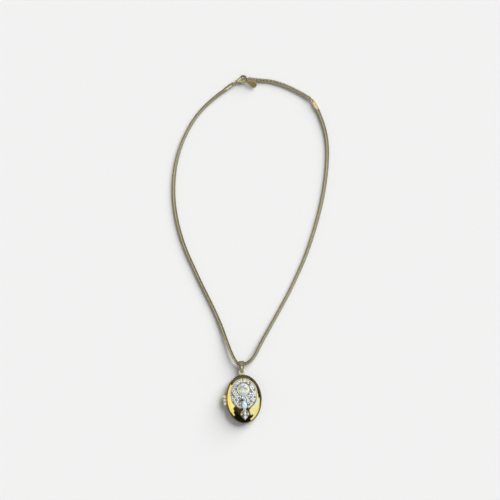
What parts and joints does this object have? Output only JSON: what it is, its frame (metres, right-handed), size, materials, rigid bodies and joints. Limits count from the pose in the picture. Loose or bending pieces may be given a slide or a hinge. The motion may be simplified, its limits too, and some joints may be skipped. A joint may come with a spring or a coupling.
{
  "type": "oval locket necklace",
  "caption": "Oval domed locket with a raised bird of cut stones on its hinged cover, on a snake chain with end tubes, lobster clasp, link extender and drop tag.",
  "frame": {"origin": "centre of the flat face of the locket's back, on the surface that the necklace lies on", "axes": "+Y from the locket's middle up to its bail and on to the clasp end, +Z out of the domed cover, +X across the locket to the side away from the hinge"},
  "size_m": [0.1049, 0.2288, 0.0102],
  "materials": {
    "polished_gold": "polished",
    "pale_gold": "polished",
    "chain_gold": "satin",
    "rhodium": "polished",
    "clear_stone": "faceted",
    "crystal": "faceted",
    "blue_stone": "faceted"
  },
  "bodies": {
    "locket_and_chain": {"locket_back": "polished_gold", "hinge_pin": "pale_gold", "bail": "pale_gold", "snake_chain": "chain_gold", "crimp_left": "pale_gold", "crimp_right": "polished_gold", "jump_ring_left": "pale_gold", "jump_ring_right": "pale_gold", "clasp_body": "pale_gold", "clasp_pin": "rhodium", "clasp_ring": "pale_gold", "tag_ring": "pale_gold", "tag": "polished_gold", "extender_chain": "chain_gold"},
    "cover": {"locket_front": "polished_gold", "wing_left": "rhodium", "wing_right": "rhodium", "pave_left": "clear_stone", "pave_right": "clear_stone", "crystal_bezel": "rhodium", "round_crystal": "crystal", "bird": "rhodium", "head_stone": "clear_stone", "body_stone": "blue_stone", "tail_stones": "clear_stone"},
    "lever": {"clasp_lever": "pale_gold"}
  },
  "joints": [
    {"name": "cover_hinge", "type": "hinge", "parent": "locket_and_chain", "child": "cover", "pos_m": [-0.01255, 0, 0.0036], "axis": [0, -1, 0], "range_deg": [0, 150]},
    {"name": "clasp_lever_hinge", "type": "hinge", "parent": "locket_and_chain", "child": "lever", "pos_m": [0.01127, 0.20884, 0.00185], "axis": [0, 0, 1], "range_deg": [0, 18], "stiffness_Nm_per_rad": 0.0004, "springref_deg": -11.46}
  ]
}
